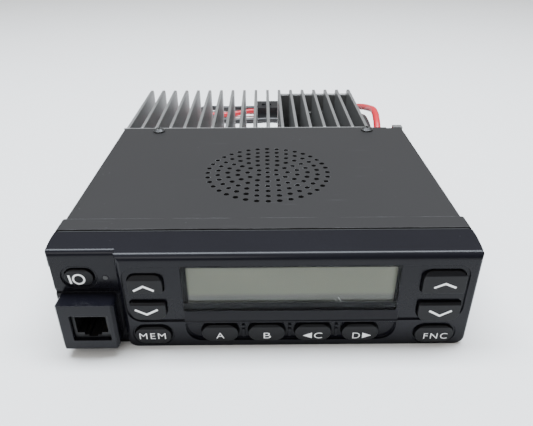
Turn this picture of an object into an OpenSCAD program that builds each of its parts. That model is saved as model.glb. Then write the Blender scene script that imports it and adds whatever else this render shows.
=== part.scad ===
// Mobile two-way radio transceiver: die-cast chassis with a finned heat sink,
// sheet steel covers, moulded front panel with eleven keys, display, speaker and DC leads.
// X runs to the right, Y to the back and Z up. Lengths are in millimetres.

/* [Case] */
// Width over the raised band of the covers
band_w = 160; // [158:0.5:162]
// Height of the case, from the ground to the top cover's face
case_h = 46; // [45.5:0.1:47]
// Depth from the front face to the rear edge of the top cover
cover_y = 123.2; // [122.6:0.1:124]
// Thickness of the sheet steel covers
sheet_t = 1; // [0.9:0.05:1.1]
// Length of the raised band along the case
band_l = 8; // [7:0.5:9]

/* [Heat sink] */
// Number of fins
fin_count = 18; // [18:1:18]
// Distance from one fin to the next
fin_pitch = 8.03; // [7.95:0.01:8.05]
// Thickness of a fin
fin_t = 1.8; // [1.4:0.1:2.2]
// Y of the rear ends of the fins
fin_end_y = 200.2; // [196:0.2:202]
// Fins closed by the tie wall at their rear ends
tied_fins = 7; // [7:1:7]

/* [Speaker grille] */
// Rings of holes around the middle hole
grille_rings = 6; // [3:1:6]
// Distance from one ring to the next
ring_step = 4.68; // [4.4:0.02:4.7]
// Diameter of a grille hole
grille_d = 2.4; // [1.6:0.1:2.6]

/* [Keys] */
// How far a key travels when it is pressed
key_travel = 0.8; // [0.5:0.1:0.8]
// Gap around each key in its hole
key_gap = 0.35; // [0.25:0.05:0.35]

/* [DC leads] */
// Diameter of each lead over its insulation
lead_d = 4.2; // [4:0.1:4.2]

/* [Hidden] */
$fn = 48;
eps = 0.02;

// Case
main_hw = 79.2;                       // half width over the covers behind the band
panel_hw = band_w/2 + 0.3;            // half width of the front panel
panel_h = case_h - 0.1;               // top of the front panel at its rear shoulder
top_fall = 10.5;                      // degrees that the panel's top falls towards the front
panel_y = 13.4;                       // rear shoulder of the front panel
band_y = 14.05;                       // front edge of the covers
band_rise = 0.5;                      // how far the band stands above the top cover
wall_y = 114.5;                       // inner face of the chassis rear wall
wall_end_y = cover_y + 1.4;           // outer face of the chassis rear wall
body_hw = main_hw - sheet_t - 0.1;    // half width of the chassis
body_z = [sheet_t + 0.35, case_h - sheet_t - 0.3];   // lower and upper edges of the chassis walls
deck_z = 6;                           // top of the chassis deck
board_z = 10;                         // underside of the main board
screw_x = 58.2;
screw_y = 118.3;

// Heat sink
first_fin_x = -77.1;
fin_base_z = 5;
sink_y = wall_end_y + 0.02;           // where the heat sink meets the chassis wall
plate_t = 2;                          // its plate against that wall
tie_h = 42.5;
last_fin_x = first_fin_x + (fin_count - 1)*fin_pitch;
tie_x = last_fin_x - (tied_fins - 1)*fin_pitch - fin_t/2;
sink_x = last_fin_x + fin_t/2 + 0.8;  // right edge of the base plate
sink_posts = [for (i = [1.5, 15.5], z = [9, 36]) [first_fin_x + i*fin_pitch, z]];   // screws, between fins

// Bracket holes: M4 threads, two on each side
bracket_y = [35, 95];
bracket_z = 14;
m4_core_r = 1.65;

// Screws of the main board, and of the bottom cover
board_posts = [[-62, 28], [62, 28], [-62, 100], [0, 100], [62, 100]];
corner_posts = [[-68, 26], [68, 26], [-68, 106], [68, 106]];

// Speaker
spk_x = 2;
spk_y = 64.5;

// Front panel
split_x = -55;                        // between the left section and the main section
left_y = 2.5;                         // face of the left section
roll_r = 3;                           // rolled top edge
left_roll_r = 2.6;                    // the same on the left section
corner_r = 1.1;                       // top corners of the panel
cap_z = 37.4;                         // the left section is full width above this height
cap_step = 0.7;                       // and narrower by this much below it
wall_t = 2.6;                         // thickness of the panel's front wall
recess_y = 0.7;
pocket_y = 1.3;
lens = [-31, 17.4, 51, 38.8];         // low x, low z, high x, high z
window = [-29.4, 21.3, 49.1, 38.1];
mic = [-78.2, 4, -56.2, 25.2];
mic_y = -5.3;
mic_hole = [-73.3, 8.2, -58.8, 20.3];
mic_c = (mic_hole[0] + mic_hole[2])/2;
posts = [[-34.4, 41], [-34.4, 14.2], [56, 41], [56, 14.2]];   // x and z of the display board's posts
flange_t = 0.65;                      // retaining flange of each key
lip = 0.6;                            // how far that flange stands out round the key
mat_y = 7.2;
display_y = 8.2;
display_t = 1.6;

// Keys: centre x, centre z, width, height, upper corner radius, lower corner radius, y of the front
function tab_key(x0, x1, z0, z1, rt, rb) = [(x0 + x1)/2, (z0 + z1)/2, x1 - x0, z1 - z0, rt, rb, -1.1];
function oval_key(x0, x1, z0, z1, front) =
    let (r = (z1 - z0)/2 - 0.01) [(x0 + x1)/2, (z0 + z1)/2, x1 - x0, z1 - z0, r, r, front];
k_power = oval_key(-74.9, -64.1, 29.1, 36.1, left_y - 0.3);
k_mem = oval_key(-51, -36.8, 2.1, 10.3, -0.9);
k_fnc = oval_key(59.6, 74.8, 1.7, 9.9, -0.9);
k_left_up = tab_key(-50.9, -37.9, 27.4, 35.2, 3, 0.8);
k_left_down = tab_key(-51.2, -37.6, 14.6, 22.6, 0.8, 3.6);
k_right_up = tab_key(59.2, 75.4, 26.4, 36.2, 3.4, 0.8);
k_right_down = tab_key(59.2, 75.4, 12.8, 21.6, 0.8, 4);
key_row = [for (x = [-17.5, 0.9, 19.2, 37.8]) oval_key(x - 7.15, x + 7.15, 3, 10.8, -0.7)];
bump_x = [-8.3, 10, 28.5];

// Rear connectors
ant = [(last_fin_x - 3*fin_pitch + last_fin_x - 2*fin_pitch)/2, 16];   // x and z of the antenna connector
ant_flange_t = 2.4;
ant_thread_r = 7.9;
ant_thread_l = 14;
rear_y = fin_end_y + ant_flange_t + ant_thread_l;
jack = [69, 14];                      // x and z of the external speaker jack
grommet = [67.6, 29.5];
grommet_y = wall_end_y + 2.6;

// Origin: middle of the object's box without the leads, on the ground
shift_y = -(mic_y + rear_y)/2;

// DC leads, from the grommet over the notch beside the fins, down behind them to the ground,
// left, round a bend and back to the plug behind the tie wall
lead_r = lead_d/2;
lie = lead_r;
plug = [-6, 268, 16, 286, 10];        // low x, low y, high x, high y, height
plug_z = 5;
red_route = [
    [69.6, grommet_y, 31], [69.6, 133, 32], [69.7, 140, 36], [70.3, 148, 40], [71, 157, 42],
    [71.5, 167, 41.5], [71, 178, 39], [69.5, 188, 36.5], [67.5, 198, 33.5], [66, 208, 29.5],
    [63.5, 218, 23], [59, 226.5, 15.5], [51, 231.5, 8.5], [40, 232.5, 3.6], [28, 232.5, lie],
    [14, 232.5, lie], [0, 232.5, lie], [-16, 232.5, lie], [-32, 232, lie], [-46, 232.5, lie],
    [-56, 235, lie], [-63, 242, lie], [-65.5, 252, lie], [-63, 262, lie], [-56, 269, lie],
    [-46, 272.4, lie], [-36, 273, lie], [-27, 272.6, 2.6], [-19, 272.8, 3.8], [-12, 273, plug_z],
    [plug[0], 273, plug_z]
];
black_route = [
    [65.6, grommet_y, 28], [65.5, 133, 29], [65.2, 140, 32.5], [65, 149, 36.5], [65, 159, 37.5],
    [65.5, 170, 35.5], [65.6, 182, 31.5], [65.6, 194, 27], [65.2, 205, 21.5], [64.5, 217, 15],
    [63, 229, 9.4], [60, 239.5, 5], [54, 248.5, 2.6], [44, 255, lie], [32, 257.5, lie],
    [18, 258, lie], [4, 259.5, lie], [-8, 258, lie], [-20, 257.5, lie], [-32, 258, 2.5],
    [-42, 260, 4.2], [-48.5, 264.5, 5.9], [-52, 270.5, 6.7], [-52, 277.5, 6], [-48, 284, 4.4],
    [-41, 288, 3], [-32, 288.2, 2.6], [-24, 285.4, 3.4], [-17, 282.4, 4.5], [-12, 281.2, plug_z],
    [plug[0], 281, plug_z]
];

// ---- shapes shared by several pieces ----

module centred() translate([0, shift_y, 0]) children();

// Extrudes an outline drawn in X and Z along Y
module along_y(y0, y1) translate([0, y1, 0]) rotate([90, 0, 0]) linear_extrude(y1 - y0) children();

// Extrudes an outline drawn in Y and Z along X
module along_x(x0, x1) translate([x0, 0, 0]) rotate([90, 0, 90]) linear_extrude(x1 - x0) children();

module block(x0, x1, y0, y1, z0, z1) translate([x0, y0, z0]) cube([x1 - x0, y1 - y0, z1 - z0]);

module rod_y(x, z, r, y0, y1) translate([x, y0, z]) rotate([-90, 0, 0]) cylinder(r = r, h = y1 - y0);

module rod_z(x, y, r, z0, z1) translate([x, y, z0]) cylinder(r = r, h = z1 - z0);

module rod_x(y, z, r, x0, x1) translate([x0, y, z]) rotate([0, 90, 0]) cylinder(r = r, h = x1 - x0);

// Rectangle with its own corner radii at the top and at the bottom
module tab2d(w, h, rt, rb) {
    translate([-w/2, -h/2 + rb]) square([w, h - rt - rb]);
    translate([-w/2 + rt, h/2 - rt - eps]) square([w - 2*rt, rt + eps]);
    translate([-w/2 + rb, -h/2]) square([w - 2*rb, rb + eps]);
    for (s = [-1, 1]) {
        translate([s*(w/2 - rt), h/2 - rt]) circle(rt);
        translate([s*(w/2 - rb), -h/2 + rb]) circle(rb);
    }
}

// The same, placed by its edges
module box2d(x0, z0, x1, z1, rt, rb) translate([(x0 + x1)/2, (z0 + z1)/2]) tab2d(x1 - x0, z1 - z0, rt, rb);

module key2d(k, grow = 0) translate([k[0], k[1]]) tab2d(k[2] + 2*grow, k[3] + 2*grow, k[4] + grow, k[5] + grow);

// A pan-head screw with its head up at z
module pan_screw(x, y, z, head_r, head_h, shank_r, l) {
    translate([x, y, z]) difference() {
        union() {
            cylinder(r = head_r, h = head_h*0.45);
            translate([0, 0, head_h*0.45]) cylinder(r1 = head_r, r2 = head_r*0.62, h = head_h*0.55);
        }
        for (a = [0, 90]) rotate(a) translate([-head_r*0.52, -head_r*0.13, head_h*0.4])
            cube([head_r*1.04, head_r*0.26, head_h]);
    }
    rod_z(x, y, shank_r, z - l, z);
}

// ---- chassis, heat sink and covers ----

module side_boss(s, y) rod_x(y, bracket_z, 4.4, s > 0 ? 70 : -body_hw, s > 0 ? body_hw : -70);

module chassis() color("silver") centred() difference() {
    union() {
        // deck and side walls
        block(-body_hw, body_hw, 19.5, wall_y + 1, 3, deck_z);
        for (s = [-1, 1]) block(s > 0 ? 74.6 : -body_hw, s > 0 ? body_hw : -74.6, 19.5, wall_y + 1, body_z[0], body_z[1]);
        for (s = [-1, 1], y = bracket_y) side_boss(s, y);
        for (p = board_posts) rod_z(p[0], p[1], 3.4, deck_z - 1, board_z - 0.02);
        for (p = corner_posts) rod_z(p[0], p[1], 4, 1.1, deck_z);
        // rear wall, with its bare lip behind the top cover and a corner post
        block(-body_hw, body_hw, wall_y, wall_end_y, body_z[0], body_z[1]);
        block(-main_hw, sink_x + 0.6, cover_y + 0.1, wall_end_y, 1.2, case_h - 0.1);
        block(74.4, main_hw + 0.4, cover_y + 0.1, cover_y + 4, 1.2, case_h - 0.1);
    }
    for (s = [-1, 1], y = bracket_y) rod_x(y, bracket_z, m4_core_r, s > 0 ? 69 : -body_hw - 1, s > 0 ? body_hw + 1 : -69);
    for (p = board_posts) rod_z(p[0], p[1], 1.25, deck_z, board_z + 1);
    for (p = corner_posts) rod_z(p[0], p[1], 1.3, 0, 5);
    for (x = [-screw_x, screw_x]) rod_z(x, screw_y, 1.5, case_h - 14, case_h + 1);
    for (x = [-28, 28]) rod_y(x, 20, 1.3, wall_y - 1, wall_y + 8);
    for (p = sink_posts) rod_y(p[0], p[1], 1.6, wall_y - 1, wall_end_y + 1);
    rod_y(ant[0], ant[1], 2.1, wall_y - 1, wall_end_y + 1);
    rod_y(jack[0], jack[1], 3.1, wall_y - 1, wall_end_y + 1);
    rod_y(grommet[0], grommet[1], 5.3, wall_y - 1, wall_end_y + 1);
}

module fin(x) along_x(x - fin_t/2, x + fin_t/2) {
    translate([sink_y, fin_base_z - 1]) square([fin_end_y - sink_y, case_h - 3 - fin_base_z + 1]);
    translate([sink_y, case_h - 3 - eps]) square([fin_end_y - sink_y - 3, 3 + eps]);
    translate([fin_end_y - 3, case_h - 3]) circle(3);
}

// Fins on a base plate and a plate that bolts to the chassis wall; the last fins are tied at the rear
module heat_sink() color("silver") centred() difference() {
    union() {
        block(-body_hw, last_fin_x + fin_t/2, sink_y, sink_y + plate_t, 0, case_h - 3);
        block(-body_hw, sink_x, sink_y, fin_end_y, 0, fin_base_z);
        for (i = [0:fin_count - 1]) fin(first_fin_x + i*fin_pitch);
        block(tie_x, last_fin_x + fin_t/2, fin_end_y - 3.2, fin_end_y, 0, tie_h);
        along_y(fin_end_y - 3.6, fin_end_y) translate(ant) tab2d(28, 28, 2, 2);
        for (p = sink_posts) rod_y(p[0], p[1], 3.5, sink_y + 1, sink_y + 9);
    }
    for (p = sink_posts) rod_y(p[0], p[1], 1.5, sink_y - 1, sink_y + 8);
    rod_y(ant[0], ant[1], 2.1, sink_y - 1, fin_end_y + 1);
    rod_y(ant[0], ant[1], 7, fin_end_y - 2.2, fin_end_y + 1);
    for (x = [-1, 1], z = [-1, 1]) rod_y(ant[0] + 9.1*x, ant[1] + 9.1*z, 1.25, fin_end_y - 5, fin_end_y + 1);
}

module sink_screws() color([0.6, 0.6, 0.6]) centred()
    for (p = sink_posts) {
        rod_y(p[0], p[1], 1.4, wall_y - 0.1, sink_y + 7);
        rod_y(p[0], p[1], 2.8, wall_y - 2, wall_y - 0.02);
    }

// U-shaped shell outline in X and Z: open below, or above when up is false
module shell2d(hw, z_open, z_edge, t, r) {
    difference() {
        box2d(-hw, z_open - 2*r, hw, z_edge, r, r);
        box2d(-hw + t, z_open - 4*r, hw - t, z_edge - t, max(r - t, 0.3), max(r - t, 0.3));
        translate([-hw - 1, z_open - 4*r]) square([2*hw + 2, 4*r]);
    }
}

module grille_holes() translate([spk_x, spk_y, case_h - 3]) linear_extrude(5) {
    circle(d = grille_d, $fn = 24);
    for (n = [1:grille_rings], i = [0:6*n - 1]) rotate(i*60/n) translate([0, n*ring_step]) circle(d = grille_d, $fn = 24);
}

module top_cover() color("dimgray") centred() difference() {
    union() {
        along_y(band_y, band_y + band_l) shell2d(band_w/2, 23, case_h + band_rise, sheet_t, 1.6);
        along_y(band_y + band_l - 1, cover_y) shell2d(main_hw, 23, case_h, sheet_t, 1.6);
    }
    grille_holes();
    for (x = [-screw_x, screw_x]) rod_z(x, screw_y, 1.6, case_h - 3, case_h + 2);
    block(70, 74, cover_y - 1.2, cover_y + 1, case_h - 3, case_h + 1);
}

module bottom_cover() color("dimgray") centred() difference() {
    union() {
        along_y(band_y, band_y + band_l) mirror([0, 1]) shell2d(band_w/2, -22.6, 0, sheet_t, 1.6);
        along_y(band_y + band_l - 1, cover_y) mirror([0, 1]) shell2d(main_hw, -22.6, 0, sheet_t, 1.6);
    }
    for (p = corner_posts) translate([p[0], p[1], -eps]) cylinder(r1 = 2.7, r2 = 1.6, h = sheet_t + 2*eps);
    for (y = bracket_y) rod_x(y, bracket_z, 2.6, -90, 90);
    for (i = [0:11]) block(-30 + 5*i, -28 + 5*i, 60, 84, -1, 3);
}

module top_screws() color([0.1, 0.1, 0.1]) centred()
    for (x = [-screw_x, screw_x]) pan_screw(x, screw_y, case_h, 3.25, 2, 1.45, 12);

module bottom_screws() color([0.1, 0.1, 0.1]) centred()
    for (p = corner_posts) difference() {
        union() {
            translate([p[0], p[1], 0.05]) cylinder(r1 = 2.6, r2 = 1.5, h = 0.95);
            rod_z(p[0], p[1], 1.2, 0.9, 4.8);
        }
        for (a = [0, 90]) translate([p[0], p[1], 0]) rotate(a) translate([-1.4, -0.3, -1]) cube([2.8, 0.6, 1.6]);
    }

// ---- front panel ----

// Side view of a section of the panel, in Y and Z: flat face at y, falling top, rolled top edge
module section2d(y, r) {
    roll = [y + r, panel_h - (panel_y - y - r)*tan(top_fall) - r/cos(top_fall)];
    polygon([
        [y, 0], [panel_y, 0], [panel_y, panel_h],
        roll + r*[-sin(top_fall), cos(top_fall)], roll, [y, roll[1]]
    ]);
    translate(roll) circle(r);
}

// Plan view with rounded front corners, in X and Y
module plan2d(x0, x1, y, r0, r1) {
    translate([x0, y + max(r0, r1)]) square([x1 - x0, 40]);
    translate([x0 + r0, y]) square([x1 - x0 - r0 - r1, 20]);
    translate([x0 + r0, y + r0]) circle(r0);
    translate([x1 - r1, y + r1]) circle(r1);
}

module main_section() intersection() {
    along_x(split_x, panel_hw) section2d(0, roll_r);
    along_y(-1, 20) box2d(split_x, 0, panel_hw, panel_h, corner_r, 4.8);
    translate([0, 0, -1]) linear_extrude(60) plan2d(split_x, panel_hw, 0, 2.4, 1.2);
}

module left_section() intersection() {
    union() {
        along_x(-panel_hw, split_x + 8) intersection() {
            section2d(left_y, left_roll_r);
            translate([0, cap_z]) square([20, 20]);
        }
        along_x(-panel_hw + cap_step, split_x + 8) section2d(left_y, left_roll_r);
    }
    along_y(-1, 20) box2d(-panel_hw, 0, split_x + 30, panel_h, corner_r, 4.4);
    translate([0, 0, -1]) linear_extrude(60) plan2d(-panel_hw, split_x + 8, left_y, 1.2, 0.1);
}

// Block around the microphone jack, with chamfered front edges
module mic_block() intersection() {
    along_y(mic_y, left_y + 1) box2d(mic[0], mic[1], mic[2], mic[3], 1.4, 1.8);
    linear_extrude(40) polygon([
        [mic[0], 6], [mic[0], mic_y + 1.4], [mic[0] + 1, mic_y], [mic[2] - 1, mic_y], [mic[2], mic_y + 1.4], [mic[2], 6]
    ]);
}

// Raised chin under the display, ending in a ridge above the key pocket, in Y and Z
module chin2d() {
    polygon([[1, 17.2], [recess_y, 17.2], [-0.3, 13.1], [-0.3, 12.1], [0, 11.7], [1, 11.7]]);
    translate([0.05, 12.6]) circle(0.65);
}

module keys2d(grow) {
    for (k = [k_mem, k_fnc, k_left_up, k_left_down, k_right_up, k_right_down]) key2d(k, grow);
    for (k = key_row) key2d(k, grow);
}

module panel_cavity() {
    block(split_x + 1.5, panel_hw - 2.5, wall_t, 8, 2.6, 41.2);
    block(-panel_hw + 3.1, split_x + 2, left_y + 2.5, 8, 2.6, 41.2);
    block(-panel_hw + 3.1, panel_hw - 2.5, 7.9, 30, 2.6, 42.8);
}

module front_panel() color([0.16, 0.16, 0.17]) centred() {
    difference() {
        union() {
            difference() {
                union() {
                    main_section();
                    left_section();
                    // skirt that slides inside the covers
                    along_y(panel_y - 1, 19) box2d(-78.3, 1.3, 78.3, case_h - 1.4, 2, 2);
                }
                panel_cavity();
                // shallow recess around the display and the keys beside it
                along_y(-2, recess_y) box2d(-53, 12.6, 76.8, 38.6, 5, 6);
                // pocket around the lower row of keys
                along_y(-2, pocket_y) box2d(-30.8, 2.6, 51.7, 12.1, 0.8, 6.5);
                // dishes around the oval keys
                along_y(-2, 0.45) for (k = [k_mem, k_fnc]) key2d(k, 1.1);
                along_y(-2, left_y + 0.7) key2d(k_power, 1.5);
                // step below the power key
                block(-panel_hw - 1, split_x - 0.2, left_y - 3, left_y + 0.6, 25.2, 27.2);
            }
            mic_block();
            difference() {
                along_x(lens[0], lens[2] + 1) chin2d();
                block(lens[0] - 1, lens[2] + 2, 1, 3, 10, 18);
            }
            // tactile bumps between the lower keys
            for (x = bump_x) {
                rod_y(x, 9.4, 0.6, 0.5, pocket_y + 0.5);
                along_y(0.6, pocket_y + 0.5) box2d(x - 0.6, 3.9, x + 0.6, 8, 0.59, 0.59);
            }
            // posts for the display board
            for (p = posts) rod_y(p[0], p[1], 1.9, wall_t - 0.5, display_y - 0.05);
        }
        along_y(-6, 8) keys2d(key_gap);
        along_y(wall_t, 8) keys2d(lip + 0.2);
        along_y(-6, 8) key2d(k_power, key_gap);
        along_y(left_y + 2.5, 9) key2d(k_power, lip + 0.2);
        along_y(-2, 12) box2d(lens[0] - 0.1, lens[1] - 0.1, lens[2] + 0.1, lens[3] + 0.1, 0.8, 0.8);
        along_y(mic_y - 1, 12) box2d(mic_hole[0], mic_hole[1], mic_hole[2], mic_hole[3], 0.5, 0.5);
        rod_y(-59.6, 32.3, 1, 0, 10);
        for (p = posts) rod_y(p[0], p[1], 0.95, 3.6, 12);
        // the skirt is open inside
        block(-76.8, 76.8, panel_y - 3, 21, 2.7, panel_h - 3.2);
    }
}

module panel_gasket() color([0.08, 0.08, 0.08]) centred()
    along_y(panel_y + 0.05, band_y - 0.05) difference() {
        box2d(-80.2, 0.4, 80.2, case_h - 0.1, 2.2, 3);
        box2d(-78.4, 1.2, 78.4, case_h - 1.3, 2, 2);
    }

// ---- display ----

module lcd_lens() color([0.75, 0.8, 0.78, 0.4]) centred()
    along_y(0.25, 1.9) box2d(lens[0] + 0.1, lens[1] + 0.1, lens[2] - 0.1, lens[3] - 0.1, 0.7, 0.7);

module lcd_glass() color([0.55, 0.56, 0.5]) centred()
    block(window[0] - 1.2, window[2] + 1.2, 2.9, 4.7, window[1] - 2.4, window[3] + 0.5);

module lcd_holder() color([0.9, 0.9, 0.88]) centred() difference() {
    block(window[0] - 3, window[2] + 3, 2.75, display_y - 0.05, window[1] - 4.6, window[3] + 2.2);
    block(window[0] - 1.3, window[2] + 1.3, 2, 9, window[1] - 2.5, window[3] + 0.6);
}

module light_guide() color([0.85, 0.9, 0.8, 0.8]) centred()
    block(window[0] - 1.2, window[2] + 1.2, 4.8, display_y - 0.15, window[1] - 2.4, window[3] + 0.5);

// Where the display board stands, clear of the microphone jack
module board2d() difference() {
    box2d(-76, 3.4, 76.5, 42.5, 1.5, 1.5);
    translate([-90, 0]) square([90 - 56.6, 22.4]);
}

module display_board() color([0.1, 0.35, 0.2]) centred() {
    difference() {
        along_y(display_y, display_y + display_t) board2d();
        for (p = posts) rod_y(p[0], p[1], 1.2, display_y - 1, display_y + 3);
    }
    block(-12, 8, display_y + display_t, 13, 10, 14);
}

module display_screws() color([0.6, 0.6, 0.6]) centred()
    for (p = posts) {
        rod_y(p[0], p[1], 0.9, 5, display_y + display_t + 0.1);
        difference() {
            rod_y(p[0], p[1], 1.7, display_y + display_t + 0.02, display_y + display_t + 1.4);
            for (a = [0, 90]) translate([p[0], display_y + display_t + 0.8, p[1]]) rotate([0, a, 0])
                translate([-1.1, 0, -0.2]) cube([2.2, 2, 0.4]);
        }
    }

// Silicone mat behind the keys, with a plunger for each key
module mat_area(x0, z0, x1, z1) along_y(mat_y, display_y - 0.05) box2d(x0, z0, x1, z1, 1, 1);

module key_mat() color([0.75, 0.75, 0.72]) centred() {
    difference() {
        union() {
            mat_area(-75.8, 23.2, -36.6, 39.6);
            mat_area(-55.6, 3.7, -36.8, 30);
            mat_area(-40, 3.9, 60, 11.6);
            mat_area(58.6, 3.7, 76.2, 39.6);
        }
        rod_y(-59.6, 32.3, 1.6, 5, 9);
    }
    for (k = concat([k_mem, k_fnc, k_left_up, k_left_down, k_right_up, k_right_down], key_row))
        rod_y(k[0], k[1], 1.8, wall_t + 0.1 + flange_t + key_travel + 0.25, mat_y + 0.2);
    rod_y(k_power[0], k_power[1], 1.8, left_y + 2.6 + flange_t + key_travel + 0.25, mat_y + 0.2);
}

module led_lens() color([0.5, 0.5, 0.48]) centred() {
    rod_y(-59.6, 32.3, 0.9, left_y - 0.1, 5.2);
    rod_y(-59.6, 32.3, 1.4, 5.1, display_y - 0.1);
}

// ---- keys ----

// A key: bevelled top, waist in its hole and a retaining flange behind the wall
module key_piece(k, back, bevel) color([0.12, 0.12, 0.13]) centred() {
    intersection() {
        along_y(k[6], back + 0.2) key2d(k);
        along_x(k[0] - k[2], k[0] + k[2]) polygon([
            [k[6], k[1] - k[3]], [k[6], k[1] + k[3]/2 - bevel], [k[6] + bevel*0.6, k[1] + k[3]/2],
            [back + 1, k[1] + k[3]/2 + 1], [back + 1, k[1] - k[3]]
        ]);
    }
    along_y(back + 0.12, back + 0.12 + flange_t) key2d(k, lip);
}

module power_key() key_piece(k_power, left_y + 2.5, 0.6);
module mem_key() key_piece(k_mem, wall_t, 0.8);
module fnc_key() key_piece(k_fnc, wall_t, 0.8);
module left_up_key() key_piece(k_left_up, wall_t, 1.8);
module left_down_key() key_piece(k_left_down, wall_t, 1);
module right_up_key() key_piece(k_right_up, wall_t, 1.8);
module right_down_key() key_piece(k_right_down, wall_t, 1);
module key_a() key_piece(key_row[0], wall_t, 0.9);
module key_b() key_piece(key_row[1], wall_t, 0.9);
module key_c() key_piece(key_row[2], wall_t, 0.9);
module key_d() key_piece(key_row[3], wall_t, 0.9);

// ---- microphone jack ----

module mic_jack() color([0.1, 0.1, 0.1]) centred() difference() {
    along_y(-3.7, 13.2) box2d(mic_hole[0] + 0.15, mic_hole[1] + 0.1, mic_hole[2] - 0.15, mic_hole[3] - 0.1, 0.3, 0.3);
    along_y(-4, 9) {
        box2d(mic_c - 5.9, 10.9, mic_c + 5.9, 18.6, 0.2, 0.2);
        box2d(mic_c - 3.3, 9.7, mic_c + 3.3, 11.5, 0.2, 0.2);
        box2d(mic_c - 1.7, 8.9, mic_c + 1.7, 10.2, 0.2, 0.2);
    }
}

module mic_jack_contacts() color([0.8, 0.65, 0.25]) centred()
    for (i = [0:7]) translate([mic_c + (i - 3.5)*1.02 - 0.22, 0, 0]) {
        translate([0, -1.5, 17.9]) cube([0.44, 10.4, 0.35]);
        translate([0, 5.5, 16.9]) cube([0.44, 0.35, 1.1]);
    }

// ---- boards and their parts ----

module main_board() color([0.1, 0.4, 0.22]) centred() {
    difference() {
        block(-66, 66, 23, 106, board_z, board_z + 1.6);
        for (p = board_posts) rod_z(p[0], p[1], 1.5, board_z - 1, board_z + 3);
    }
    block(-12, 8, 24, 28, board_z + 1.6, board_z + 5.6);
    block(40, 52, 76, 82, board_z + 1.6, board_z + 8);
}

module board_screws() color([0.7, 0.7, 0.68]) centred()
    for (p = board_posts) pan_screw(p[0], p[1], board_z + 1.62, 2.6, 1.6, 1.2, 4.6);

module processor_chip() color([0.15, 0.15, 0.15]) centred() {
    block(-50, -34, 40, 56, board_z + 1.7, board_z + 3.9);
    for (i = [0:9], s = [0, 1]) {
        block(-48.9 + 1.5*i, -48.4 + 1.5*i, s > 0 ? 55.9 : 38.6, s > 0 ? 57.4 : 40.1, board_z + 1.62, board_z + 2.2);
        block(s > 0 ? -34.1 : -51.4, s > 0 ? -32.6 : -49.9, 41.1 + 1.5*i, 41.6 + 1.5*i, board_z + 1.62, board_z + 2.2);
    }
}

module shield_can() color([0.75, 0.75, 0.75]) centred() difference() {
    block(40, 64, 34, 70, board_z + 1.62, board_z + 13);
    block(40.4, 63.6, 34.4, 69.6, board_z, board_z + 12.6);
}

module crystal_filter() color([0.7, 0.68, 0.6]) centred() {
    block(-30, -16, 80, 88, board_z + 1.62, board_z + 9);
    block(-12, -6, 80, 88, board_z + 1.62, board_z + 8);
}

module audio_amplifier() color([0.12, 0.12, 0.12]) centred() {
    block(-60, -46, 108.5, 112.6, 14, 27);
    block(-60, -46, 112.6, wall_y - 0.02, 14, 30);
    for (i = [0:4]) block(-58.4 + 2.6*i, -57.6 + 2.6*i, 104.6, 108.6, board_z + 4.4, board_z + 5);
    for (i = [0:4]) block(-58.4 + 2.6*i, -57.6 + 2.6*i, 104.6, 105.4, board_z + 1.65, board_z + 4.5);
}

module filter_capacitors() color([0.15, 0.2, 0.45]) centred() {
    for (x = [52, 40, 28]) rod_z(x, 92, 5, board_z + 1.62, board_z + 15);
    rod_z(-50, 76, 4, board_z + 1.62, board_z + 11);
}

module power_module() color([0.2, 0.2, 0.22]) centred() {
    difference() {
        block(-33, 33, 112.5, wall_y - 0.02, 14, 26);
        for (x = [-28, 28]) rod_y(x, 20, 1.6, 110, 120);
    }
    block(-22, 22, 107.5, 112.5, 14, 26);
    for (x = [-18, -12, 0, 12, 18]) block(x - 0.5, x + 0.5, 103.5, 107.6, board_z + 5, board_z + 5.5);
    for (x = [-18, -12, 0, 12, 18]) block(x - 0.5, x + 0.5, 103.5, 104, board_z + 1.65, board_z + 5.2);
}

module module_screws() color([0.7, 0.7, 0.68]) centred()
    for (x = [-28, 28]) {
        rod_y(x, 20, 1.2, 112, wall_y + 7);
        rod_y(x, 20, 2.6, 110.6, 112.48);
    }

// Flat cable from the display board to the main board, in Y and Z
module ribbon2d() polygon([
    [11, 9.98], [11, 8.8], [14.2, 8.8], [22, 15.65], [25, 15.65],
    [25, 16.2], [21.8, 16.2], [14, 9.35], [11.55, 9.35], [11.55, 9.98]
]);

module ribbon_cable() color([0.85, 0.8, 0.7]) centred() along_x(-10, 6) ribbon2d();

// ---- speaker ----

module spun(points) translate([spk_x, spk_y, 0]) rotate_extrude($fn = 96) polygon(points);

module speaker_frame() color([0.35, 0.35, 0.36]) centred()
    spun([[33, 44.2], [33, 43], [28, 42.4], [17.5, 33], [8.2, 33], [8.2, 34], [17, 34], [27, 43.2], [28, 44.2]]);

module speaker_magnet() color([0.2, 0.2, 0.2]) centred()
    spun([[0, 26.6], [16, 26.6], [17.2, 27.4], [17.2, 32.9], [8, 32.9], [8, 28.8], [6.6, 28.8], [6.6, 34.6], [0, 34.6]]);

module speaker_cone() color([0.12, 0.11, 0.1]) centred()
    spun([[27.6, 44.15], [26.4, 43.6], [9, 36.2], [0, 38.6], [0, 38.1], [7, 36.1], [7, 30], [7.6, 30], [7.6, 35.2], [26.6, 43], [27.6, 43.8]]);

module speaker_cloth() color([0.05, 0.05, 0.05]) centred() spun([[0, 44.3], [32, 44.3], [32, 44.95], [0, 44.95]]);

// Spring strap that holds the magnet up against the cover
module speaker_strap() color([0.6, 0.6, 0.62]) centred() {
    block(spk_x - 36, spk_x + 36, spk_y - 6, spk_y + 6, 25.6, 26.55);
    for (s = [-1, 1]) {
        block(spk_x + s*35.5 - 0.5, spk_x + s*35.5 + 0.5, spk_y - 6, spk_y + 6, 26, case_h - sheet_t - 0.02);
        block(spk_x + s*39 - 4, spk_x + s*39 + 4, spk_y - 6, spk_y + 6, case_h - sheet_t - 1, case_h - sheet_t - 0.02);
    }
}

// ---- rear connectors ----

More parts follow.
